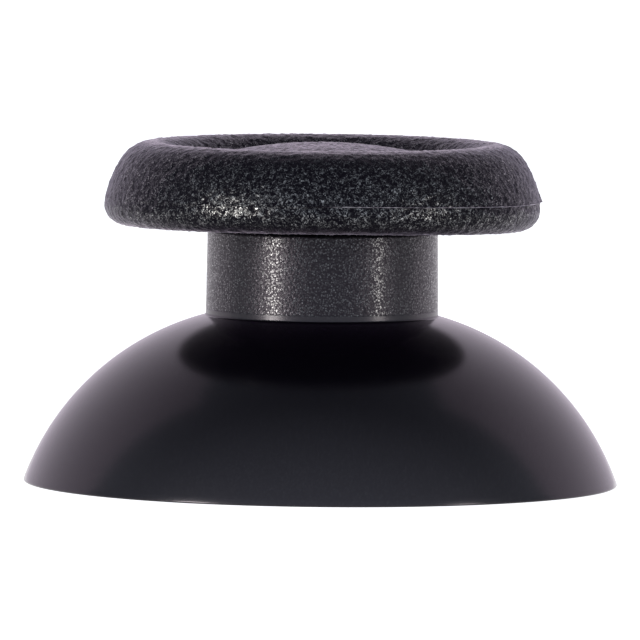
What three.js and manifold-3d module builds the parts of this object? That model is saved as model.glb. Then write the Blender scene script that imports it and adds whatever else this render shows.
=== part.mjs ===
// Thumbstick cap: a hard plastic stick with a domed skirt, and a soft rubber grip moulded over its head.
// Millimetres, +Z up the stick, origin at the middle of the skirt's rim plane.

import * as THREE from 'three';
import { mergeVertices } from 'three/addons/utils/BufferGeometryUtils.js';
import Module from 'manifold-3d';

// Turned shapes: flats round the axis, and the steps in a quarter turn of each kind of round
const FACETS = 64;
const LARGE_ROUND_STEPS = 12;
const HEAD_ROUND_STEPS = 7;
const SMALL_ROUND_STEPS = 3;
const CROWN_STEPS = 20;

// Skirt: the dome that closes the opening in the controller's shell when the stick tilts
const RIM_RADIUS = 12.22;
const SKIRT_HEIGHT = 6.89;
const SKIRT_ARC_RADIUS = 10.86;
const SKIRT_WALL = 1.2;
const RIM_EDGE_ROUND = 0.06;

// Neck: drafted slightly, with a fillet at the skirt and a softened top edge under the head
const NECK_LENGTH = 3.61;
const NECK_FOOT_RADIUS = 4.77;
const NECK_TOP_RADIUS = 4.73;
const NECK_FILLET = 0.12;
const NECK_EDGE_ROUND = 0.2;

// Boss and its socket for the joystick's double-D stem
const BOSS_RADIUS = 3.2;
const BOSS_RECESS = 1.0;
const BOSS_FILLET = 0.4;
const BOSS_EDGE_CHAMFER = 0.25;
const SOCKET_RADIUS = 2.05;
const SOCKET_ACROSS_FLATS = 3.1;
const SOCKET_DEPTH = 5.4;
const SOCKET_LEAD_IN = 0.3;

// Core: the flat plastic mushroom that the rubber grips
const STALK_RADIUS = 4.0;
const CORE_RADIUS = 7.3;
const CORE_THICKNESS = 1.0;
const CORE_EDGE_ROUND = 0.4;

// Rubber grip: the outer form of the head
const HEAD_RADIUS = 8.97;
const HEAD_HEIGHT = 3.39;
const UNDERSIDE_DISH = 0.1;
const CORNER_ROUND = 0.8;
const SIDE_LEAN_DEG = 8.5;
const SIDE_ROUND = 4.4;
const CREST_ROUND = 1.5;
const TROUGH_ROUND = 1.1;
const CROWN_DROP = 0.01;
const CROWN_ROUND = 18.8;
const LIP_THICKNESS = 0.9;

// Colours and roughness of the moulded plastic and of the rubber
const PLASTIC_COLOUR = 0x1c1c20;
const PLASTIC_ROUGHNESS = 0.5;
const RUBBER_COLOUR = 0x19181c;
const RUBBER_ROUGHNESS = 0.8;

// Points closer together than this are one point
const SAME_POINT = 0.00001;

const wasm = await Module();
wasm.setup();

// Points of an arc about (r, z), from one angle to another in radians, both ends included
function arc(centre, radius, from, to, stepsPerQuarter) {
  const steps = Math.max(1, Math.ceil((Math.abs(to - from) / (Math.PI / 2)) * stepsPerQuarter));
  const points = [];
  for (let i = 0; i <= steps; i += 1) {
    const angle = from + ((to - from) * i) / steps;
    points.push(new THREE.Vector2(centre.x + radius * Math.cos(angle), centre.y + radius * Math.sin(angle)));
  }
  return points;
}

// Angle at which one point is seen from another
function bearing(from, to) {
  return Math.atan2(to.y - from.y, to.x - from.x);
}

// Where two circles cross, on the left of the way from the first centre to the second
function crossing(centreA, radiusA, centreB, radiusB) {
  const apart = centreA.distanceTo(centreB);
  const along = (radiusA ** 2 - radiusB ** 2 + apart ** 2) / (2 * apart);
  const aside = Math.sqrt(radiusA ** 2 - along ** 2);
  const way = centreB.clone().sub(centreA).normalize();
  const left = new THREE.Vector2(-way.y, way.x);
  return centreA.clone().addScaledVector(way, along).addScaledVector(left, aside);
}

// A turned body: the profile is revolved about +Z
function turned(profile) {
  const distinct = profile.filter((point, i) => i === 0 || point.distanceTo(profile[i - 1]) > SAME_POINT);
  const geometry = new THREE.LatheGeometry(distinct, FACETS);
  geometry.rotateX(Math.PI / 2);
  return geometry;
}

// The same shape as a solid that can be cut
function toSolid(geometry) {
  const bare = geometry.index ? geometry.toNonIndexed() : geometry.clone();
  bare.deleteAttribute('normal');
  bare.deleteAttribute('uv');
  const merged = mergeVertices(bare, SAME_POINT);
  return new wasm.Manifold(new wasm.Mesh({
    numProp: 3,
    vertProperties: new Float32Array(merged.attributes.position.array),
    triVerts: new Uint32Array(merged.index.array),
  }));
}

// And back to a geometry for a mesh
function toGeometry(solid) {
  const mesh = solid.getMesh();
  const geometry = new THREE.BufferGeometry();
  geometry.setAttribute('position', new THREE.BufferAttribute(new Float32Array(mesh.vertProperties), 3));
  geometry.setIndex(new THREE.BufferAttribute(new Uint32Array(mesh.triVerts), 1));
  geometry.computeVertexNormals();
  return geometry;
}

// The skirt's outline is one arc through the rim's edge and the neck's foot
const rimPoint = new THREE.Vector2(RIM_RADIUS, 0);
const neckFoot = new THREE.Vector2(NECK_FOOT_RADIUS, SKIRT_HEIGHT);
const skirtCentre = crossing(rimPoint, SKIRT_ARC_RADIUS, neckFoot, SKIRT_ARC_RADIUS);

// Heights and places that follow from the sizes above
const neckTop = SKIRT_HEIGHT + NECK_LENGTH;
const underside = neckTop + UNDERSIDE_DISH;
const headTop = underside + HEAD_HEIGHT;
const shoulderRadius = NECK_TOP_RADIUS - NECK_EDGE_ROUND;
const coreBottom = underside + LIP_THICKNESS;
const coreTop = coreBottom + CORE_THICKNESS;
const socketTop = BOSS_RECESS + SOCKET_DEPTH;

// The faces where plastic and rubber meet, from the neck's shoulder up round the core to the axis
function coreOutline() {
  const low = new THREE.Vector2(CORE_RADIUS - CORE_EDGE_ROUND, coreBottom + CORE_EDGE_ROUND);
  const high = new THREE.Vector2(CORE_RADIUS - CORE_EDGE_ROUND, coreTop - CORE_EDGE_ROUND);
  return [
    new THREE.Vector2(shoulderRadius, neckTop),
    new THREE.Vector2(STALK_RADIUS, neckTop),
    new THREE.Vector2(STALK_RADIUS, coreBottom),
    ...arc(low, CORE_EDGE_ROUND, -Math.PI / 2, 0, SMALL_ROUND_STEPS),
    ...arc(high, CORE_EDGE_ROUND, 0, Math.PI / 2, SMALL_ROUND_STEPS),
    new THREE.Vector2(0, coreTop),
  ];
}

// Inside of the skirt, from the boss's side out to the rim, with the boss's fillet
function skirtInside() {
  const inner = SKIRT_ARC_RADIUS - SKIRT_WALL;
  const filletX = BOSS_RADIUS + BOSS_FILLET;
  const filletReach = Math.sqrt((inner - BOSS_FILLET) ** 2 - (filletX - skirtCentre.x) ** 2);
  const fillet = new THREE.Vector2(filletX, skirtCentre.y + filletReach);
  const rimAngle = Math.asin(-skirtCentre.y / inner);
  return [
    ...arc(fillet, BOSS_FILLET, Math.PI, bearing(skirtCentre, fillet), SMALL_ROUND_STEPS),
    ...arc(skirtCentre, inner, bearing(skirtCentre, fillet), rimAngle, LARGE_ROUND_STEPS),
  ];
}

// Outside of the skirt, from the rim's rounded edge up to the fillet at the neck
function skirtOutside() {
  const edgeReach = Math.sqrt((SKIRT_ARC_RADIUS - RIM_EDGE_ROUND) ** 2 - (RIM_EDGE_ROUND - skirtCentre.y) ** 2);
  const edge = new THREE.Vector2(skirtCentre.x + edgeReach, RIM_EDGE_ROUND);
  const filletX = NECK_FOOT_RADIUS + NECK_FILLET;
  const filletReach = Math.sqrt((SKIRT_ARC_RADIUS + NECK_FILLET) ** 2 - (filletX - skirtCentre.x) ** 2);
  const fillet = new THREE.Vector2(filletX, skirtCentre.y + filletReach);
  const edgeAngle = bearing(skirtCentre, edge);
  const filletAngle = bearing(skirtCentre, fillet);
  return [
    ...arc(edge, RIM_EDGE_ROUND, -Math.PI / 2, edgeAngle, SMALL_ROUND_STEPS),
    ...arc(skirtCentre, SKIRT_ARC_RADIUS, edgeAngle, filletAngle, LARGE_ROUND_STEPS),
    ...arc(fillet, NECK_FILLET, filletAngle - Math.PI, -Math.PI, SMALL_ROUND_STEPS),
  ];
}

// The socket: a round hole with two flats, and a coned lead-in at its mouth
function stemSocket() {
  const flatAngle = Math.asin(SOCKET_ACROSS_FLATS / 2 / SOCKET_RADIUS);
  const outline = new THREE.Shape([
    ...arc(new THREE.Vector2(), SOCKET_RADIUS, -flatAngle, flatAngle, LARGE_ROUND_STEPS),
    ...arc(new THREE.Vector2(), SOCKET_RADIUS, Math.PI - flatAngle, Math.PI + flatAngle, LARGE_ROUND_STEPS),
  ]);
  const hole = new THREE.ExtrudeGeometry(outline, { depth: socketTop, bevelEnabled: false });
  const mouth = SOCKET_RADIUS + SOCKET_LEAD_IN;
  const cone = turned([
    new THREE.Vector2(0, BOSS_RECESS - SOCKET_LEAD_IN),
    new THREE.Vector2(mouth + SOCKET_LEAD_IN, BOSS_RECESS - SOCKET_LEAD_IN),
    new THREE.Vector2(0, BOSS_RECESS + mouth),
  ]);
  return toSolid(hole).add(toSolid(cone));
}

// Hard plastic stick: boss, skirt, neck and core in one moulding
function stickBody() {
  const neckEdge = new THREE.Vector2(shoulderRadius, neckTop - NECK_EDGE_ROUND);
  const blank = turned([
    new THREE.Vector2(0, BOSS_RECESS),
    new THREE.Vector2(BOSS_RADIUS - BOSS_EDGE_CHAMFER, BOSS_RECESS),
    new THREE.Vector2(BOSS_RADIUS, BOSS_RECESS + BOSS_EDGE_CHAMFER),
    ...skirtInside(),
    ...skirtOutside(),
    ...arc(neckEdge, NECK_EDGE_ROUND, 0, Math.PI / 2, SMALL_ROUND_STEPS),
    ...coreOutline(),
  ]);
  return toGeometry(toSolid(blank).subtract(stemSocket()));
}

// Outer form of the head, from the rubber's lip at the neck out, up and over to the axis
function headOutline() {
  const corner = new THREE.Vector2(HEAD_RADIUS - CORNER_ROUND, underside + CORNER_ROUND);
  const lean = THREE.MathUtils.degToRad(SIDE_LEAN_DEG);
  const side = corner.clone().sub(new THREE.Vector2(Math.cos(lean), Math.sin(lean))
    .multiplyScalar(SIDE_ROUND - CORNER_ROUND));
  const crestLean = Math.asin((headTop - CREST_ROUND - side.y) / (SIDE_ROUND - CREST_ROUND));
  const crest = side.clone().add(new THREE.Vector2(Math.cos(crestLean), Math.sin(crestLean))
    .multiplyScalar(SIDE_ROUND - CREST_ROUND));
  const crown = new THREE.Vector2(0, headTop - CROWN_DROP - CROWN_ROUND);
  const trough = crossing(crown, CROWN_ROUND + TROUGH_ROUND, crest, CREST_ROUND + TROUGH_ROUND);
  const dish = bearing(new THREE.Vector2(shoulderRadius, neckTop), new THREE.Vector2(corner.x, underside));
  const troughStart = bearing(crest, trough);
  const troughEnd = bearing(trough, crown);
  return [
    new THREE.Vector2(shoulderRadius, neckTop),
    ...arc(corner, CORNER_ROUND, dish - Math.PI / 2, lean, HEAD_ROUND_STEPS),
    ...arc(side, SIDE_ROUND, lean, crestLean, LARGE_ROUND_STEPS),
    ...arc(crest, CREST_ROUND, crestLean, troughStart, HEAD_ROUND_STEPS),
    ...arc(trough, TROUGH_ROUND, troughStart - Math.PI, troughEnd, HEAD_ROUND_STEPS),
    ...arc(crown, CROWN_ROUND, bearing(crown, trough), Math.PI / 2, CROWN_STEPS),
  ];
}

// Soft rubber grip: a closed cap over the core, with a lip that ends on the neck's shoulder
function rubberGrip() {
  return turned([...coreOutline().reverse(), ...headOutline()]);
}

function piece(name, geometry, color, roughness) {
  const mesh = new THREE.Mesh(geometry, new THREE.MeshStandardMaterial({ color, roughness, metalness: 0 }));
  mesh.name = name;
  return mesh;
}

const thumbstickCap = new THREE.Group();
thumbstickCap.add(piece('stick_body', stickBody(), PLASTIC_COLOUR, PLASTIC_ROUGHNESS));
thumbstickCap.add(piece('rubber_grip', rubberGrip(), RUBBER_COLOUR, RUBBER_ROUGHNESS));

export default thumbstickCap;
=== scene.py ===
from math import asin, atan2, ceil, cos, hypot, pi, radians, sin, sqrt

import bpy
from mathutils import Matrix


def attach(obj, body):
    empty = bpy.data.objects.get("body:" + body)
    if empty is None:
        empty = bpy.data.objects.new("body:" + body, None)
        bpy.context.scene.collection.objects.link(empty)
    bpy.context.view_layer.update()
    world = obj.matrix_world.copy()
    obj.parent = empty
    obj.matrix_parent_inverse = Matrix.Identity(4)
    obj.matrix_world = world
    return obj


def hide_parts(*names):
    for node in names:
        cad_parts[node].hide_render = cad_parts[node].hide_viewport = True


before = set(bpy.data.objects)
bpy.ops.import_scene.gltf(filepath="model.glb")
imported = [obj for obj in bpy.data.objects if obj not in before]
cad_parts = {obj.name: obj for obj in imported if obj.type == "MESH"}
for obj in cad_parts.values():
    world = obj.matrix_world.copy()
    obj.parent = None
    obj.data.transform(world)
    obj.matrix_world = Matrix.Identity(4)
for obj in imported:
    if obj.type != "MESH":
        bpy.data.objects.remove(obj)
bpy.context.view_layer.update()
MM = 0.001
HAIR = 0.001 * MM

# Hard plastic stick
# One injection moulding in black ABS. It has a domed skirt with a thin wall, a short neck that is
# spark-textured down to a smooth shut-off band, a boss with a double-D socket under the skirt, and
# a flat mushroom core on top that the rubber is moulded over.


def arc(centre, radius, start, end, step):
    """Points of an arc in the outline's plane, from one angle to another, about one step apart."""
    count = max(1, ceil(abs(end - start) * radius / step))
    angles = [start + (end - start) * i / count for i in range(count + 1)]
    return [(centre[0] + radius * cos(a), centre[1] + radius * sin(a)) for a in angles]


def line(start, end, step):
    """Points of a straight stretch of the outline, about one step apart."""
    count = max(1, ceil(hypot(end[0] - start[0], end[1] - start[1]) / step))
    shares = [i / count for i in range(count + 1)]
    return [(start[0] + (end[0] - start[0]) * t, start[1] + (end[1] - start[1]) * t) for t in shares]


def bearing(start, end):
    """Angle at which one point of the outline is seen from another."""
    return atan2(end[1] - start[1], end[0] - start[0])


def crossing(centre_a, radius_a, centre_b, radius_b):
    """Where two circles cross, on the left of the way from the first centre to the second."""
    apart = hypot(centre_b[0] - centre_a[0], centre_b[1] - centre_a[1])
    along = (radius_a**2 - radius_b**2 + apart**2) / (2 * apart)
    aside = sqrt(radius_a**2 - along**2)
    way = ((centre_b[0] - centre_a[0]) / apart, (centre_b[1] - centre_a[1]) / apart)
    return centre_a[0] + way[0] * along - way[1] * aside, centre_a[1] + way[1] * along + way[0] * aside


def share(value):
    """A value held between 0 and 1."""
    return min(1, max(0, value))


def turn(name, outline, segments):
    """Extrudes one point along the outline and turns it once round the axis."""
    bpy.ops.object.select_all(action="DESELECT")
    bpy.ops.mesh.primitive_plane_add(size=MM, location=(0, 0, 0))
    piece = bpy.context.object
    piece.name = name
    piece.data.name = name
    bpy.ops.object.mode_set(mode="EDIT")
    bpy.ops.mesh.merge(type="CENTER")
    bpy.ops.transform.translate(value=(outline[0][0], 0, outline[0][1]))
    for start, end in zip(outline, outline[1:]):
        if hypot(end[0] - start[0], end[1] - start[1]) > HAIR:
            move = {"value": (end[0] - start[0], 0, end[1] - start[1])}
            bpy.ops.mesh.extrude_vertices_move(TRANSFORM_OT_translate=move)
    bpy.ops.object.mode_set(mode="OBJECT")
    bpy.ops.object.modifier_add(type="SCREW")
    piece.modifiers["Screw"].steps = segments
    piece.modifiers["Screw"].render_steps = segments
    bpy.ops.object.modifier_apply(modifier="Screw")
    bpy.ops.object.mode_set(mode="EDIT")
    bpy.ops.mesh.select_all(action="SELECT")
    bpy.ops.mesh.remove_doubles(threshold=HAIR)
    bpy.ops.mesh.normals_make_consistent(inside=False)
    bpy.ops.object.mode_set(mode="OBJECT")
    return piece


RIM_RADIUS = 12.22 * MM
SKIRT_HEIGHT = 6.89 * MM
SKIRT_ARC_RADIUS = 10.86 * MM
SKIRT_WALL = 1.2 * MM
RIM_EDGE_ROUND = 0.06 * MM
NECK_LENGTH = 3.61 * MM
NECK_FOOT_RADIUS = 4.77 * MM
NECK_TOP_RADIUS = 4.73 * MM
NECK_FILLET = 0.12 * MM
NECK_EDGE_ROUND = 0.2 * MM
BOSS_RADIUS = 3.2 * MM
BOSS_RECESS = 1.0 * MM
BOSS_FILLET = 0.4 * MM
BOSS_EDGE_CHAMFER = 0.25 * MM
SOCKET_RADIUS = 2.05 * MM
SOCKET_ACROSS_FLATS = 3.1 * MM
SOCKET_DEPTH = 5.4 * MM
SOCKET_LEAD_IN = 0.3 * MM
STALK_RADIUS = 4.0 * MM
CORE_RADIUS = 7.3 * MM
CORE_THICKNESS = 1.0 * MM
CORE_EDGE_ROUND = 0.4 * MM
UNDERSIDE_DISH = 0.1 * MM
LIP_THICKNESS = 0.9 * MM
STICK_SEGMENTS = 288
STICK_STEP = 0.25 * MM
EDGE_STEP = 0.025 * MM
STICK_SMOOTH_ANGLE = radians(35)

rim_point = (RIM_RADIUS, 0)
neck_foot = (NECK_FOOT_RADIUS, SKIRT_HEIGHT)
skirt_centre = crossing(rim_point, SKIRT_ARC_RADIUS, neck_foot, SKIRT_ARC_RADIUS)
neck_top = SKIRT_HEIGHT + NECK_LENGTH
shoulder = (NECK_TOP_RADIUS - NECK_EDGE_ROUND, neck_top)
underside = neck_top + UNDERSIDE_DISH
core_bottom = underside + LIP_THICKNESS
core_top = core_bottom + CORE_THICKNESS
socket_top = BOSS_RECESS + SOCKET_DEPTH
core_edge = CORE_RADIUS - CORE_EDGE_ROUND

core_outline = [
    shoulder,
    (STALK_RADIUS, neck_top),
    (STALK_RADIUS, core_bottom),
    *arc((core_edge, core_bottom + CORE_EDGE_ROUND), CORE_EDGE_ROUND, -pi / 2, 0, STICK_STEP),
    *arc((core_edge, core_top - CORE_EDGE_ROUND), CORE_EDGE_ROUND, 0, pi / 2, STICK_STEP),
    (0, core_top),
]

inner_radius = SKIRT_ARC_RADIUS - SKIRT_WALL
boss_fillet_x = BOSS_RADIUS + BOSS_FILLET
boss_fillet_reach = sqrt((inner_radius - BOSS_FILLET) ** 2 - (boss_fillet_x - skirt_centre[0]) ** 2)
boss_fillet = (boss_fillet_x, skirt_centre[1] + boss_fillet_reach)
boss_fillet_end = bearing(skirt_centre, boss_fillet)
skirt_inside = [
    *arc(boss_fillet, BOSS_FILLET, pi, boss_fillet_end, 2 * EDGE_STEP),
    *arc(skirt_centre, inner_radius, boss_fillet_end, asin(-skirt_centre[1] / inner_radius), STICK_STEP),
]

rim_edge_reach = sqrt((SKIRT_ARC_RADIUS - RIM_EDGE_ROUND) ** 2 - (RIM_EDGE_ROUND - skirt_centre[1]) ** 2)
rim_edge = (skirt_centre[0] + rim_edge_reach, RIM_EDGE_ROUND)
neck_fillet_x = NECK_FOOT_RADIUS + NECK_FILLET
neck_fillet_reach = sqrt((SKIRT_ARC_RADIUS + NECK_FILLET) ** 2 - (neck_fillet_x - skirt_centre[0]) ** 2)
neck_fillet = (neck_fillet_x, skirt_centre[1] + neck_fillet_reach)
rim_edge_end = bearing(skirt_centre, rim_edge)
neck_fillet_start = bearing(skirt_centre, neck_fillet)
skirt_outside = [
    *arc(rim_edge, RIM_EDGE_ROUND, -pi / 2, rim_edge_end, EDGE_STEP),
    *arc(skirt_centre, SKIRT_ARC_RADIUS, rim_edge_end, neck_fillet_start, STICK_STEP),
    *arc(neck_fillet, NECK_FILLET, neck_fillet_start - pi, -pi, EDGE_STEP),
]

neck_edge = (shoulder[0], neck_top - NECK_EDGE_ROUND)
stick_outline = [
    (0, socket_top),
    (SOCKET_RADIUS, socket_top),
    (SOCKET_RADIUS, BOSS_RECESS + SOCKET_LEAD_IN),
    (SOCKET_RADIUS + SOCKET_LEAD_IN, BOSS_RECESS),
    (BOSS_RADIUS - BOSS_EDGE_CHAMFER, BOSS_RECESS),
    (BOSS_RADIUS, BOSS_RECESS + BOSS_EDGE_CHAMFER),
    *skirt_inside,
    *skirt_outside,
    *arc(neck_edge, NECK_EDGE_ROUND, 0, pi / 2, EDGE_STEP),
    *core_outline,
]
stick = turn("plastic_stick", stick_outline, STICK_SEGMENTS)

# The socket's round wall is pressed in to its two flats, and the lead-in follows it
flat = SOCKET_ACROSS_FLATS / 2
for point in stick.data.vertices:
    radius = hypot(point.co.x, point.co.y)
    in_socket = BOSS_RECESS < point.co.z <= socket_top + HAIR and 0 < radius < SOCKET_RADIUS + HAIR
    if in_socket and abs(point.co.y) > flat:
        point.co.y = flat if point.co.y > 0 else -flat
    if in_socket and point.co.z < BOSS_RECESS + 2 * SOCKET_LEAD_IN:
        point.co.z = BOSS_RECESS + SOCKET_RADIUS + SOCKET_LEAD_IN - hypot(point.co.x, point.co.y)

bpy.ops.object.shade_smooth_by_angle(angle=STICK_SMOOTH_ANGLE)


def add_node(tree, kind, place, inputs=None, **settings):
    """Adds a shader node at a place in the tree, with its settings and its unlinked inputs."""
    node = tree.nodes.new(kind)
    node.location = place
    for key, value in settings.items():
        setattr(node, key, value)
    for key, value in (inputs or {}).items():
        node.inputs[key].default_value = value
    return node


def new_group(name, number_inputs, output):
    """A node group that takes a place and some numbers, and puts out one number."""
    group = bpy.data.node_groups.new(name, "ShaderNodeTree")
    group.interface.new_socket("Vector", in_out="INPUT", socket_type="NodeSocketVector")
    for number_input in number_inputs:
        group.interface.new_socket(number_input, in_out="INPUT", socket_type="NodeSocketFloat")
    group.interface.new_socket(output, in_out="OUTPUT", socket_type="NodeSocketFloat")
    return group


def new_tree(owner):
    """The empty node tree of a new material or world."""
    owner.use_nodes = True
    owner.node_tree.nodes.clear()
    return owner.node_tree


NOISE_MEAN = (0.5, 0.5, 0.5)

# Etched Grain: the texture that is etched or eroded into the mould's steel, at a size given in metres.
# It puts out the height of the texture, from rounded cells with creases between them, and fine pits.
grain_group = new_group("Etched Grain", ("Cell Size", "Warp", "Pits"), "Height")
grain_in = add_node(grain_group, "NodeGroupInput", (-900, 0))
grain_scale = add_node(grain_group, "ShaderNodeMath", (-700, -200), {0: 1.0}, operation="DIVIDE")
grain_warp = add_node(grain_group, "ShaderNodeTexNoise", (-500, 200), {"Detail": 2.0, "Roughness": 0.5})
grain_shift = add_node(grain_group, "ShaderNodeVectorMath", (-300, 200), operation="SUBTRACT")
grain_shift.inputs[1].default_value = NOISE_MEAN
grain_push = add_node(grain_group, "ShaderNodeVectorMath", (-100, 200), operation="SCALE")
grain_place = add_node(grain_group, "ShaderNodeVectorMath", (-300, 0), operation="SCALE")
grain_moved = add_node(grain_group, "ShaderNodeVectorMath", (80, 100), operation="ADD")
grain_cells = add_node(grain_group, "ShaderNodeTexVoronoi", (260, 100), {"Scale": 1.0}, feature="SMOOTH_F1")
grain_cells.inputs["Smoothness"].default_value = 0.35
grain_fine = add_node(grain_group, "ShaderNodeTexNoise", (260, -200), {"Scale": 1.7, "Detail": 1.0})
grain_fine.inputs["Roughness"].default_value = 0.5
grain_pits = add_node(grain_group, "ShaderNodeMath", (460, -200), operation="MULTIPLY")
grain_sum = add_node(grain_group, "ShaderNodeMath", (640, 0), operation="SUBTRACT")
grain_out = add_node(grain_group, "NodeGroupOutput", (820, 0))
for start, end in (
    (grain_in.outputs["Cell Size"], grain_scale.inputs[1]),
    (grain_in.outputs["Vector"], grain_place.inputs[0]),
    (grain_scale.outputs[0], grain_place.inputs["Scale"]),
    (grain_place.outputs[0], grain_warp.inputs["Vector"]),
    (grain_warp.outputs["Color"], grain_shift.inputs[0]),
    (grain_shift.outputs[0], grain_push.inputs[0]),
    (grain_in.outputs["Warp"], grain_push.inputs["Scale"]),
    (grain_place.outputs[0], grain_moved.inputs[0]),
    (grain_push.outputs[0], grain_moved.inputs[1]),
    (grain_moved.outputs[0], grain_cells.inputs["Vector"]),
    (grain_moved.outputs[0], grain_fine.inputs["Vector"]),
    (grain_fine.outputs["Fac"], grain_pits.inputs[0]),
    (grain_in.outputs["Pits"], grain_pits.inputs[1]),
    (grain_cells.outputs["Distance"], grain_sum.inputs[1]),
    (grain_pits.outputs[0], grain_sum.inputs[0]),
    (grain_sum.outputs[0], grain_out.inputs["Height"]),
):
    grain_group.links.new(start, end)


# Glinting Facets: the small faces of such a texture, at a size given in metres. It puts out how much each
# place shines, from 0 in the creases up to 1 on the brightest faces, and each face shines differently.
facet_group = new_group("Glinting Facets", ("Cell Size", "Warp", "Crease", "Dullest"), "Shine")
facet_in = add_node(facet_group, "NodeGroupInput", (-900, 0))
facet_scale = add_node(facet_group, "ShaderNodeMath", (-700, -200), {0: 1.0}, operation="DIVIDE")
facet_place = add_node(facet_group, "ShaderNodeVectorMath", (-500, 0), operation="SCALE")
facet_warp = add_node(facet_group, "ShaderNodeTexNoise", (-300, 200), {"Scale": 0.8, "Detail": 1.0})
facet_shift = add_node(facet_group, "ShaderNodeVectorMath", (-100, 200), operation="SUBTRACT")
facet_shift.inputs[1].default_value = NOISE_MEAN
facet_push = add_node(facet_group, "ShaderNodeVectorMath", (80, 200), operation="SCALE")
facet_moved = add_node(facet_group, "ShaderNodeVectorMath", (260, 0), operation="ADD")
facet_cells = add_node(facet_group, "ShaderNodeTexVoronoi", (440, 0), {"Scale": 1.0}, feature="F1")
facet_edge = add_node(facet_group, "ShaderNodeMapRange", (640, 0), interpolation_type="SMOOTHSTEP")
facet_edge.inputs["To Min"].default_value = 1.0
facet_edge.inputs["To Max"].default_value = 0.0
facet_edge.inputs["From Min"].default_value = 0.1
facet_tilt = add_node(facet_group, "ShaderNodeSeparateColor", (640, -250))
facet_rare = add_node(facet_group, "ShaderNodeMath", (820, -400), {1: 2.0}, operation="POWER")
facet_luck = add_node(facet_group, "ShaderNodeMapRange", (820, -250), {"To Max": 1.0})
facet_shine = add_node(facet_group, "ShaderNodeMath", (1000, 0), operation="MULTIPLY")
facet_out = add_node(facet_group, "NodeGroupOutput", (1180, 0))
for start, end in (
    (facet_in.outputs["Cell Size"], facet_scale.inputs[1]),
    (facet_in.outputs["Vector"], facet_place.inputs[0]),
    (facet_scale.outputs[0], facet_place.inputs["Scale"]),
    (facet_place.outputs[0], facet_warp.inputs["Vector"]),
    (facet_warp.outputs["Color"], facet_shift.inputs[0]),
    (facet_shift.outputs[0], facet_push.inputs[0]),
    (facet_in.outputs["Warp"], facet_push.inputs["Scale"]),
    (facet_place.outputs[0], facet_moved.inputs[0]),
    (facet_push.outputs[0], facet_moved.inputs[1]),
    (facet_moved.outputs[0], facet_cells.inputs["Vector"]),
    (facet_cells.outputs["Distance"], facet_edge.inputs["Value"]),
    (facet_in.outputs["Crease"], facet_edge.inputs["From Max"]),
    (facet_cells.outputs["Color"], facet_tilt.inputs[0]),
    (facet_tilt.outputs[0], facet_rare.inputs[0]),
    (facet_rare.outputs[0], facet_luck.inputs["Value"]),
    (facet_in.outputs["Dullest"], facet_luck.inputs["To Min"]),
    (facet_edge.outputs["Result"], facet_shine.inputs[0]),
    (facet_luck.outputs["Result"], facet_shine.inputs[1]),
    (facet_shine.outputs[0], facet_out.inputs["Shine"]),
):
    facet_group.links.new(start, end)


PLASTIC_COLOUR = (0.0012, 0.001, 0.0022, 1)
SPECULAR_TINT = (0.98, 0.86, 1.0, 1)
SHEEN_TINT = (0.7, 0.05, 1.0, 1)
BAND_HEIGHT = 0.24 * MM
BAND_EDGE = 0.06 * MM
BAND_ROUGHNESS = 0.34
DOME_ROUGHNESS = 0.19
DOME_EDGE = 0.05 * MM
SPARK_MEAN = 0.6
SPARK_SIZE = 0.12 * MM
SPARK_DEPTH = 0.014 * MM
SPARK_GLINT_SIZE = 0.08 * MM

plastic = bpy.data.materials.new("moulded black plastic")
tree = new_tree(plastic)
plastic_look = {
    "Base Color": PLASTIC_COLOUR,
    "IOR": 1.5,
    "Specular IOR Level": 0.32,
    "Specular Tint": SPECULAR_TINT,
    "Sheen Weight": 0.008,
    "Sheen Roughness": 0.4,
    "Sheen Tint": SHEEN_TINT,
    "Coat IOR": 2.2,
    "Coat Roughness": 0.22,
}
surface = add_node(tree, "ShaderNodeBsdfPrincipled", (700, 0), plastic_look)
output = add_node(tree, "ShaderNodeOutputMaterial", (1000, 0))
place = add_node(tree, "ShaderNodeTexCoord", (-900, 0))
parts = add_node(tree, "ShaderNodeSeparateXYZ", (-700, -300))
low_edge = add_node(tree, "ShaderNodeMapRange", (-500, -300), interpolation_type="SMOOTHSTEP")
low_edge.inputs["From Min"].default_value = SKIRT_HEIGHT + BAND_HEIGHT
low_edge.inputs["From Max"].default_value = SKIRT_HEIGHT + BAND_HEIGHT + BAND_EDGE
sparks = add_node(tree, "ShaderNodeGroup", (-500, 0), node_tree=grain_group)
sparks.inputs["Cell Size"].default_value = SPARK_SIZE
sparks.inputs["Warp"].default_value = 0.4
sparks.inputs["Pits"].default_value = 0.3
sunk = add_node(tree, "ShaderNodeMath", (-300, 0), {1: SPARK_MEAN}, operation="SUBTRACT")
masked = add_node(tree, "ShaderNodeMath", (-100, 0), operation="MULTIPLY")
glints = add_node(tree, "ShaderNodeGroup", (-500, 300), {"Warp": 0.6, "Crease": 0.6}, node_tree=facet_group)
glints.inputs["Cell Size"].default_value = SPARK_GLINT_SIZE
glints.inputs["Dullest"].default_value = 0.3
polish = add_node(tree, "ShaderNodeMapRange", (-300, 500), {"To Min": 0.38, "To Max": 0.06})
mirror = add_node(tree, "ShaderNodeMapRange", (-300, 250), {"To Max": 0.85})
fine_mirror = add_node(tree, "ShaderNodeMapRange", (-300, 0), {"To Min": 0.1, "To Max": 0.22})
on_neck = add_node(tree, "ShaderNodeMapRange", (-300, -500), {"To Min": DOME_ROUGHNESS})
on_neck.inputs["To Max"].default_value = BAND_ROUGHNESS
on_neck.inputs["From Min"].default_value = SKIRT_HEIGHT
on_neck.inputs["From Max"].default_value = SKIRT_HEIGHT + DOME_EDGE
roughness = add_node(tree, "ShaderNodeMix", (0, 500))
shine = add_node(tree, "ShaderNodeMix", (0, 250))
bump = add_node(tree, "ShaderNodeBump", (300, -200), {"Strength": 1.0, "Distance": SPARK_DEPTH})
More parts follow.
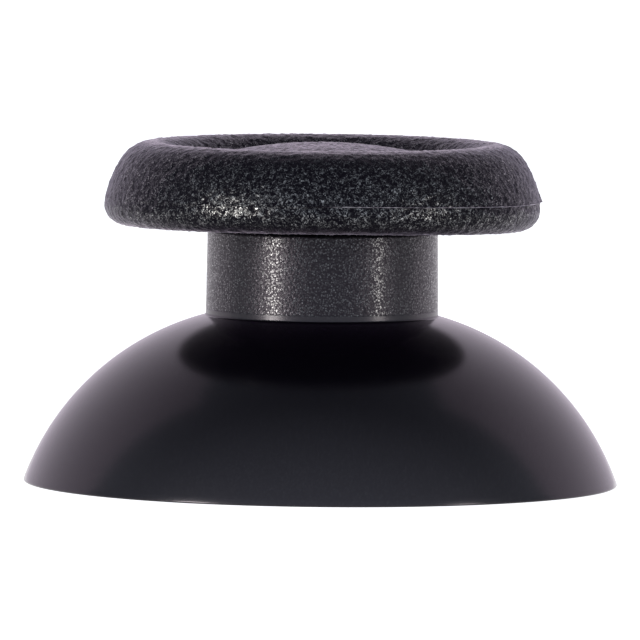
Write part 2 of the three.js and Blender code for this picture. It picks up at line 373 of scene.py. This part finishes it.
for start, end in (
    (place.outputs["Object"], parts.inputs[0]),
    (place.outputs["Object"], sparks.inputs["Vector"]),
    (place.outputs["Object"], glints.inputs["Vector"]),
    (parts.outputs["Z"], low_edge.inputs["Value"]),
    (sparks.outputs["Height"], sunk.inputs[0]),
    (sunk.outputs[0], masked.inputs[0]),
    (low_edge.outputs["Result"], masked.inputs[1]),
    (masked.outputs[0], bump.inputs["Height"]),
    (bump.outputs["Normal"], surface.inputs["Normal"]),
    (glints.outputs["Shine"], polish.inputs["Value"]),
    (glints.outputs["Shine"], mirror.inputs["Value"]),
    (glints.outputs["Shine"], fine_mirror.inputs["Value"]),
    (parts.outputs["Z"], on_neck.inputs["Value"]),
    (on_neck.outputs["Result"], roughness.inputs[2]),
    (fine_mirror.outputs["Result"], shine.inputs[2]),
    (low_edge.outputs["Result"], roughness.inputs[0]),
    (polish.outputs["Result"], roughness.inputs[3]),
    (low_edge.outputs["Result"], shine.inputs[0]),
    (mirror.outputs["Result"], shine.inputs[3]),
    (roughness.outputs[0], surface.inputs["Roughness"]),
    (shine.outputs[0], surface.inputs["Coat Weight"]),
    (surface.outputs[0], output.inputs["Surface"]),
):
    tree.links.new(start, end)
stick.data.materials.append(plastic)

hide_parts("stick_body")
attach(stick, "root")

# Rubber grip
# Soft black rubber, moulded over the plastic core as a closed cap that ends in a lip on the neck's
# shoulder. The mould is etched with a fine leather grain, and its two halves meet in a thin line
# round the side, with a little flash at the right. A broken light grey is painted along that line
# as a painted highlight.

HEAD_RADIUS = 8.97 * MM
HEAD_HEIGHT = 3.39 * MM
CORNER_ROUND = 0.8 * MM
SIDE_LEAN = radians(8.5)
SIDE_ROUND = 4.4 * MM
CREST_ROUND = 1.5 * MM
TROUGH_ROUND = 1.1 * MM
CROWN_DROP = 0.01 * MM
CROWN_ROUND = 18.8 * MM
SEAM_HEIGHT = 11.745 * MM
SEAM_RIDGE = 0.035 * MM
SEAM_MISMATCH = 0.035 * MM
SEAM_SHRINK = 0.035 * MM
NIB_HEIGHT = SEAM_HEIGHT + 0.04 * MM
NIB_REACH = 0.5 * MM
NIB_DEPTH = 0.09 * MM
LIP_WARP = 0.1 * MM
CORE_MARGIN = 0.02 * MM
WARP_FADE = 1.0 * MM
SIDE_GAP = 0.1 * MM
SIDE_FADE = 0.6 * MM
GRAIN_FADE = 0.4 * MM
HEAD_SEGMENTS = 540
HEAD_STEP = 0.095 * MM
HEAD_SMOOTH_ANGLE = radians(60)

head_top = underside + HEAD_HEIGHT
corner = (HEAD_RADIUS - CORNER_ROUND, underside + CORNER_ROUND)
side_reach = SIDE_ROUND - CORNER_ROUND
side = (corner[0] - side_reach * cos(SIDE_LEAN), corner[1] - side_reach * sin(SIDE_LEAN))
crest_reach = SIDE_ROUND - CREST_ROUND
crest_lean = asin((head_top - CREST_ROUND - side[1]) / crest_reach)
crest = (side[0] + crest_reach * cos(crest_lean), side[1] + crest_reach * sin(crest_lean))
crown = (0, head_top - CROWN_DROP - CROWN_ROUND)
trough = crossing(crown, CROWN_ROUND + TROUGH_ROUND, crest, CREST_ROUND + TROUGH_ROUND)
dish_slope = bearing(shoulder, (corner[0], underside))
trough_start = bearing(crest, trough)
corner_start = (corner[0] + CORNER_ROUND * sin(dish_slope), corner[1] - CORNER_ROUND * cos(dish_slope))

seam_lean = asin((SEAM_HEIGHT - side[1]) / SIDE_ROUND)
seam_half = 0.6 * SEAM_RIDGE / SIDE_ROUND
seam_reach = SIDE_ROUND + SEAM_RIDGE

head_outline = [
    *line(shoulder, corner_start, HEAD_STEP),
    *arc(corner, CORNER_ROUND, dish_slope - pi / 2, SIDE_LEAN, HEAD_STEP),
    *arc(side, SIDE_ROUND, SIDE_LEAN, seam_lean - seam_half, HEAD_STEP),
    (side[0] + seam_reach * cos(seam_lean), side[1] + seam_reach * sin(seam_lean)),
    *arc(side, SIDE_ROUND, seam_lean + seam_half, crest_lean, HEAD_STEP),
    *arc(crest, CREST_ROUND, crest_lean, trough_start, HEAD_STEP),
    *arc(trough, TROUGH_ROUND, trough_start - pi, bearing(trough, crown), HEAD_STEP),
    *arc(crown, CROWN_ROUND, bearing(crown, trough), pi / 2, HEAD_STEP),
]
head = turn("rubber_head", list(reversed(core_outline)) + head_outline, HEAD_SEGMENTS)

# The mould's lower half is a touch smaller and sits to the left, so the seam is a step at the right, with
# a nib of flash. The soft lip rises a little at the front and back and hangs a little at the right.
ridge_height = side[1] + seam_reach * sin(seam_lean)
# This mask marks the seam ridge, strongest at the right where the flash stands out. Besides the geometry,
# the rubber's shader uses it to paint a light grey highlight along the seam.
flash_ridge_and_painted_glint = head.data.attributes.new("flash_ridge_and_painted_glint", "FLOAT", "POINT")
for point in head.data.vertices:
    radius = hypot(point.co.x, point.co.y)
    on_ridge = radius > CORE_RADIUS and abs(point.co.z - ridge_height) < HAIR
    if on_ridge:
        flash_ridge_and_painted_glint.data[point.index].value = share(point.co.x / MM)
        pull = 0.9 * SEAM_RIDGE * (1 - flash_ridge_and_painted_glint.data[point.index].value)
        point.co.x *= 1 - pull / radius
        point.co.y *= 1 - pull / radius
    outer = share((radius - CORE_RADIUS - SIDE_GAP) / SIDE_FADE)
    below = outer if point.co.z < SEAM_HEIGHT - 0.3 * SEAM_RIDGE else 0
    low = share((head_top - WARP_FADE - point.co.z) / WARP_FADE) * share((radius - shoulder[0]) / WARP_FADE)
    at_core_height = core_bottom - CORE_MARGIN / 2 < point.co.z < core_top + CORE_MARGIN
    in_core = radius < CORE_RADIUS + CORE_MARGIN and at_core_height
    rise = 0 if in_core or radius == 0 else (point.co.y**2 - max(0, point.co.x) ** 2) / radius**2
    above_nib = point.co.z - NIB_HEIGHT
    from_nib = hypot(point.co.y / NIB_REACH, above_nib / (NIB_REACH if above_nib > 0 else 0.3 * NIB_REACH))
    nib = NIB_DEPTH * max(0, 1 - from_nib) if point.co.x > 0 and outer else 0
    point.co.x += nib - below * (SEAM_MISMATCH + SEAM_SHRINK * point.co.x / HEAD_RADIUS)
    point.co.y -= below * SEAM_SHRINK * point.co.y / HEAD_RADIUS
    point.co.z += low * rise * LIP_WARP

# The grain's coarse part is in the mesh: it is pressed in all over but on the faces against the core
grain_mask = head.vertex_groups.new(name="grained")
for point in head.data.vertices:
    radius = hypot(point.co.x, point.co.y)
    above_neck = neck_top - CORE_MARGIN / 2 < point.co.z < core_top + CORE_MARGIN
    inside = radius < CORE_RADIUS + CORE_MARGIN and above_neck
    on_core = inside and (radius < shoulder[0] + HAIR or point.co.z > core_bottom - CORE_MARGIN / 2)
    lip = share((radius - shoulder[0]) / GRAIN_FADE)
    pressed = 0 if on_core else (lip if point.co.z < underside else 1)
    grain_mask.add([point.index], pressed, "REPLACE")

LEATHER_CELL = 0.2 * MM
LEATHER_RELIEF = 0.08 * MM
leather_relief = bpy.data.textures.new("leather relief", "CLOUDS")
leather_relief.noise_scale = LEATHER_CELL
leather_relief.noise_depth = 1
relief_height = head.data.attributes.new("relief height", "FLOAT", "POINT")
for point in head.data.vertices:
    relief_height.data[point.index].value = leather_relief.evaluate(point.co)[3]
press = head.modifiers.new("leather relief", "DISPLACE")
press.texture = leather_relief
press.vertex_group = "grained"
press.strength = LEATHER_RELIEF
press.mid_level = 0.5
bpy.ops.object.modifier_apply(modifier="leather relief")
bpy.ops.object.shade_smooth_by_angle(angle=HEAD_SMOOTH_ANGLE)

RUBBER_COLOUR = (0.002, 0.0018, 0.004, 1)
FUZZ_TINT = (0.97, 0.82, 1.0, 1)
# Light grey painted into the base colour along the seam ridge as a painted highlight
PAINTED_SEAM_GLINT_COLOUR = (0.5, 0.47, 0.5, 1)
GRAIN_SIZE = 0.16 * MM
GRAIN_DEPTH = 0.015 * MM
LEATHER_GLINT_SIZE = 0.085 * MM
SEAM_GLINT_BREAKS = 0.35 * MM

rubber = bpy.data.materials.new("leather-grained black rubber")
tree = new_tree(rubber)
rubber_look = {
    "IOR": 1.12,
    "Specular Tint": SPECULAR_TINT,
    "Sheen Weight": 0.55,
    "Sheen Roughness": 0.35,
    "Sheen Tint": FUZZ_TINT,
    "Coat IOR": 3.5,
    "Coat Roughness": 0.3,
}
surface = add_node(tree, "ShaderNodeBsdfPrincipled", (700, 0), rubber_look)
output = add_node(tree, "ShaderNodeOutputMaterial", (1000, 0))
place = add_node(tree, "ShaderNodeTexCoord", (-900, 0))
leather = add_node(tree, "ShaderNodeGroup", (-500, 0), node_tree=grain_group)
leather.inputs["Cell Size"].default_value = GRAIN_SIZE
leather.inputs["Warp"].default_value = 0.6
leather.inputs["Pits"].default_value = 0.4
glints = add_node(tree, "ShaderNodeGroup", (-500, 300), {"Warp": 4.0, "Crease": 0.7}, node_tree=facet_group)
glints.inputs["Cell Size"].default_value = LEATHER_GLINT_SIZE
glints.inputs["Dullest"].default_value = 0.1
folds = add_node(tree, "ShaderNodeAttribute", (-700, 600), attribute_name="relief height")
crests = add_node(tree, "ShaderNodeMapRange", (-500, 600), {"From Min": 0.36, "From Max": 0.6})
crests.inputs["To Min"].default_value = 0.4
crests.inputs["To Max"].default_value = 1.0
lit = add_node(tree, "ShaderNodeMath", (-300, 400), operation="MULTIPLY")
# Painted highlight: along the seam ridge the base colour turns light grey, in pieces broken by noise. The
# same mask also raises the coat weight and lowers the roughness there.
seam = add_node(tree, "ShaderNodeAttribute", (-900, 900), attribute_name="flash_ridge_and_painted_glint")
seam_glint_breaks = add_node(tree, "ShaderNodeTexNoise", (-900, 700), {"Scale": 1 / SEAM_GLINT_BREAKS, "Detail": 2.0})
broken = add_node(tree, "ShaderNodeMapRange", (-700, 800), {"From Min": 0.45, "From Max": 0.56})
broken.inputs["To Min"].default_value = 0.1
broken.inputs["To Max"].default_value = 1.4
line_mask = add_node(tree, "ShaderNodeMath", (-500, 900), operation="MULTIPLY", use_clamp=True)
brighter = add_node(tree, "ShaderNodeMath", (-300, 700), operation="MAXIMUM")
colour = add_node(tree, "ShaderNodeMix", (0, 700), {6: RUBBER_COLOUR, 7: PAINTED_SEAM_GLINT_COLOUR}, data_type="RGBA")
polish = add_node(tree, "ShaderNodeMapRange", (-100, 400), {"To Min": 0.35, "To Max": 0.12})
mirror = add_node(tree, "ShaderNodeMapRange", (-100, 200), {"From Min": 0.03, "From Max": 0.7})
bump = add_node(tree, "ShaderNodeBump", (300, -200), {"Strength": 1.0, "Distance": GRAIN_DEPTH})
for start, end in (
    (place.outputs["Object"], leather.inputs["Vector"]),
    (place.outputs["Object"], glints.inputs["Vector"]),
    (leather.outputs["Height"], bump.inputs["Height"]),
    (bump.outputs["Normal"], surface.inputs["Normal"]),
    (folds.outputs["Fac"], crests.inputs["Value"]),
    (glints.outputs["Shine"], lit.inputs[0]),
    (crests.outputs["Result"], lit.inputs[1]),
    (place.outputs["Object"], seam_glint_breaks.inputs["Vector"]),
    (seam_glint_breaks.outputs["Fac"], broken.inputs["Value"]),
    (seam.outputs["Fac"], line_mask.inputs[0]),
    (broken.outputs["Result"], line_mask.inputs[1]),
    (lit.outputs[0], brighter.inputs[0]),
    (line_mask.outputs[0], brighter.inputs[1]),
    (line_mask.outputs[0], colour.inputs[0]),
    (colour.outputs[2], surface.inputs["Base Color"]),
    (brighter.outputs[0], polish.inputs["Value"]),
    (brighter.outputs[0], mirror.inputs["Value"]),
    (polish.outputs["Result"], surface.inputs["Roughness"]),
    (mirror.outputs["Result"], surface.inputs["Coat Weight"]),
    (surface.outputs[0], output.inputs["Surface"]),
):
    tree.links.new(start, end)
head.data.materials.append(rubber)

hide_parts("rubber_grip")
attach(head, "root")

# Studio
# The cap stands on a pale floor in front of a white sweep, between two softboxes that stand a little
# behind the camera's sides. What looks past the floor sees plain white.

PAPER_COLOUR = (0.8, 0.8, 0.8, 1)
FLOOR_SIZE = 3.0
FLOOR_GLOW = 0.86
SHADE_IN_FRONT = 0.65
POLISH_COLOUR = (0.5, 0.5, 0.5, 1)
POLISH_ROUGHNESS = 0.12

floor_paper = bpy.data.materials.new("white paper floor")
tree = new_tree(floor_paper)
rays = add_node(tree, "ShaderNodeLightPath", (-700, 400))
seen_in_gloss = add_node(tree, "ShaderNodeMath", (-400, 400), operation="MAXIMUM")
place = add_node(tree, "ShaderNodeTexCoord", (-1100, -300))
direction = add_node(tree, "ShaderNodeVectorMath", (-900, -300), operation="NORMALIZE")
behind = add_node(tree, "ShaderNodeSeparateXYZ", (-700, -300))
# Seen in reflections the floor glows, with painted shade towards the front (SHADE_IN_FRONT) and full white
# behind.
reflected = add_node(tree, "ShaderNodeMapRange", (-500, -300), {"From Min": -0.3, "From Max": 0.15})
reflected.inputs["To Min"].default_value = SHADE_IN_FRONT
reflected.inputs["To Max"].default_value = 1.0
paper = add_node(tree, "ShaderNodeBsdfDiffuse", (-200, 100), {"Color": PAPER_COLOUR})
glow = add_node(tree, "ShaderNodeEmission", (-200, 0), {"Strength": FLOOR_GLOW})
mirrored = add_node(tree, "ShaderNodeEmission", (-200, -200))
polish = add_node(tree, "ShaderNodeBsdfGlossy", (-200, -400), {"Color": POLISH_COLOUR})
polish.inputs["Roughness"].default_value = POLISH_ROUGHNESS
polished = add_node(tree, "ShaderNodeAddShader", (200, -200))
lit_paper = add_node(tree, "ShaderNodeAddShader", (0, 0))
eye_mix = add_node(tree, "ShaderNodeMixShader", (200, 100))
gloss_mix = add_node(tree, "ShaderNodeMixShader", (400, 0))
output = add_node(tree, "ShaderNodeOutputMaterial", (600, 0))
for start, end in (
    (rays.outputs["Is Glossy Ray"], seen_in_gloss.inputs[0]),
    (rays.outputs["Is Transmission Ray"], seen_in_gloss.inputs[1]),
    (place.outputs["Object"], direction.inputs[0]),
    (direction.outputs[0], behind.inputs[0]),
    (behind.outputs["Y"], reflected.inputs["Value"]),
    (reflected.outputs["Result"], mirrored.inputs["Strength"]),
    (paper.outputs[0], lit_paper.inputs[0]),
    (glow.outputs[0], lit_paper.inputs[1]),
    (rays.outputs["Is Camera Ray"], eye_mix.inputs[0]),
    (paper.outputs[0], eye_mix.inputs[1]),
    (lit_paper.outputs[0], eye_mix.inputs[2]),
    (seen_in_gloss.outputs[0], gloss_mix.inputs[0]),
    (eye_mix.outputs[0], gloss_mix.inputs[1]),
    (mirrored.outputs[0], polished.inputs[0]),
    (polish.outputs[0], polished.inputs[1]),
    (polished.outputs[0], gloss_mix.inputs[2]),
    (gloss_mix.outputs[0], output.inputs["Surface"]),
):
    tree.links.new(start, end)

bpy.ops.object.select_all(action="DESELECT")
bpy.ops.mesh.primitive_plane_add(size=FLOOR_SIZE, location=(0, 0, 0))
floor = bpy.context.object
floor.name = "floor"
floor.data.materials.append(floor_paper)

SWEEP_RADIUS = 0.9
SWEEP_HEIGHT = 1.5
SWEEP_FRONT = 0.2
SWEEP_SEGMENTS = 96
SWEEP_FADE_HEIGHT = 1.2
HAZE_COLOUR = (1.0, 0.9, 1.04, 1)

sweep_paper = bpy.data.materials.new("white paper sweep")
tree = new_tree(sweep_paper)
rays = add_node(tree, "ShaderNodeLightPath", (-700, 400))
seen_in_gloss = add_node(tree, "ShaderNodeMath", (-400, 400), operation="MAXIMUM")
paper = add_node(tree, "ShaderNodeBsdfDiffuse", (-200, 100), {"Color": PAPER_COLOUR})
glow = add_node(tree, "ShaderNodeEmission", (-200, -100), {"Strength": 1.0})
place = add_node(tree, "ShaderNodeTexCoord", (-900, -300))
height = add_node(tree, "ShaderNodeSeparateXYZ", (-700, -300))
fading = add_node(tree, "ShaderNodeMapRange", (-500, -300), {"From Max": SWEEP_FADE_HEIGHT})
fading.inputs["To Min"].default_value = 1.0
fading.inputs["To Max"].default_value = 0.5
mirrored = add_node(tree, "ShaderNodeEmission", (-200, -300), {"Color": HAZE_COLOUR})
eye_mix = add_node(tree, "ShaderNodeMixShader", (200, 100))
gloss_mix = add_node(tree, "ShaderNodeMixShader", (400, 100))
output = add_node(tree, "ShaderNodeOutputMaterial", (600, 100))
for start, end in (
    (rays.outputs["Is Glossy Ray"], seen_in_gloss.inputs[0]),
    (rays.outputs["Is Transmission Ray"], seen_in_gloss.inputs[1]),
    (place.outputs["Object"], height.inputs[0]),
    (height.outputs["Z"], fading.inputs["Value"]),
    (fading.outputs["Result"], mirrored.inputs["Strength"]),
    (rays.outputs["Is Camera Ray"], eye_mix.inputs[0]),
    (paper.outputs[0], eye_mix.inputs[1]),
    (glow.outputs[0], eye_mix.inputs[2]),
    (seen_in_gloss.outputs[0], gloss_mix.inputs[0]),
    (eye_mix.outputs[0], gloss_mix.inputs[1]),
    (mirrored.outputs[0], gloss_mix.inputs[2]),
    (gloss_mix.outputs[0], output.inputs["Surface"]),
):
    tree.links.new(start, end)

bpy.ops.object.select_all(action="DESELECT")
bpy.ops.mesh.primitive_cylinder_add(
    vertices=SWEEP_SEGMENTS,
    radius=SWEEP_RADIUS,
    depth=SWEEP_HEIGHT,
    location=(0, 0, SWEEP_HEIGHT / 2),
    end_fill_type="NOTHING",
)
sweep = bpy.context.object
sweep.name = "sweep"
bpy.ops.object.transform_apply(location=True, rotation=False, scale=False)
bpy.ops.object.mode_set(mode="EDIT")
bpy.ops.mesh.select_all(action="SELECT")
bpy.ops.mesh.bisect(plane_co=(0, SWEEP_FRONT, 0), plane_no=(0, 1, 0), clear_inner=True)
bpy.ops.object.mode_set(mode="OBJECT")
sweep.data.materials.append(sweep_paper)

SOFTBOX_DISTANCE = 0.5
SOFTBOX_HEIGHT = 0.17
LAMP_COLOUR = (1.0, 0.97, 0.92)
for name, azimuth, width, power in (
    ("left softbox", -50, 0.11, 1.15),
    ("right softbox", 58, 0.08, 0.4),
):
    turn_angle = radians(azimuth)
    stand = (SOFTBOX_DISTANCE * sin(turn_angle), -SOFTBOX_DISTANCE * cos(turn_angle), SOFTBOX_HEIGHT / 2)
    bpy.ops.object.light_add(type="AREA", location=stand, rotation=(pi / 2, 0, turn_angle))
    softbox = bpy.context.object
    softbox.name = name
    softbox.data.shape = "RECTANGLE"
    softbox.data.size = width
    softbox.data.size_y = SOFTBOX_HEIGHT
    softbox.data.energy = power
    softbox.data.color = LAMP_COLOUR

ROOM_COLOUR = (0.93, 1.02, 1.16, 1)
ROOM_LEVEL = 0.45
CEILING_LEVEL = 0.13
FRONT_LEVEL = 0.34
BEYOND_COLOUR = (1, 1, 1, 1)
world = bpy.data.worlds.new("studio")
bpy.context.scene.world = world
tree = new_tree(world)
rays = add_node(tree, "ShaderNodeLightPath", (-400, 300))
place = add_node(tree, "ShaderNodeTexCoord", (-1000, 0))
height = add_node(tree, "ShaderNodeSeparateXYZ", (-800, 0))
level = add_node(tree, "ShaderNodeMapRange", (-600, 0), {"From Min": 0.45, "From Max": 1.0})
level.inputs["To Min"].default_value = ROOM_LEVEL
level.inputs["To Max"].default_value = CEILING_LEVEL
front = add_node(tree, "ShaderNodeMapRange", (-600, -300), {"From Min": -0.1, "From Max": -0.8})
front.inputs["To Min"].default_value = 0.0
front.inputs["To Max"].default_value = FRONT_LEVEL
both = add_node(tree, "ShaderNodeMath", (-400, 0), operation="ADD")
room = add_node(tree, "ShaderNodeBackground", (-200, 0), {"Color": ROOM_COLOUR})
beyond = add_node(tree, "ShaderNodeBackground", (-200, -200), {"Color": BEYOND_COLOUR, "Strength": 1.0})
mix = add_node(tree, "ShaderNodeMixShader", (200, 0))
output = add_node(tree, "ShaderNodeOutputWorld", (400, 0))
for start, end in (
    (place.outputs["Generated"], height.inputs[0]),
    (height.outputs["Z"], level.inputs["Value"]),
    (height.outputs["Y"], front.inputs["Value"]),
    (level.outputs["Result"], both.inputs[0]),
    (front.outputs["Result"], both.inputs[1]),
    (both.outputs[0], room.inputs["Strength"]),
    (rays.outputs["Is Camera Ray"], mix.inputs[0]),
    (room.outputs[0], mix.inputs[1]),
    (beyond.outputs[0], mix.inputs[2]),
    (mix.outputs[0], output.inputs["Surface"]),
):
    tree.links.new(start, end)

# Camera
# It looks along +Y from a little above, through a long lens, and is rolled a touch to the left.

AIM_HEIGHT = 6.69 * MM
CAMERA_DISTANCE = 460 * MM
CAMERA_ELEVATION = radians(3.88)
CAMERA_ROLL = radians(0.6)
CAMERA_LENS = 630
CAMERA_SENSOR = 36
SHIFT_RIGHT = 0.0029

bpy.ops.object.camera_add(
    location=(
        0,
        -CAMERA_DISTANCE * cos(CAMERA_ELEVATION),
        AIM_HEIGHT + CAMERA_DISTANCE * sin(CAMERA_ELEVATION),
    ),
    rotation=(pi / 2 - CAMERA_ELEVATION, 0, 0),
)
camera = bpy.context.object
camera.name = "camera"
camera.rotation_euler.rotate_axis("Z", CAMERA_ROLL)
camera.data.lens = CAMERA_LENS
camera.data.sensor_width = CAMERA_SENSOR
camera.data.shift_x = -SHIFT_RIGHT
bpy.context.scene.camera = camera
bpy.context.scene.view_settings.view_transform = "Standard"
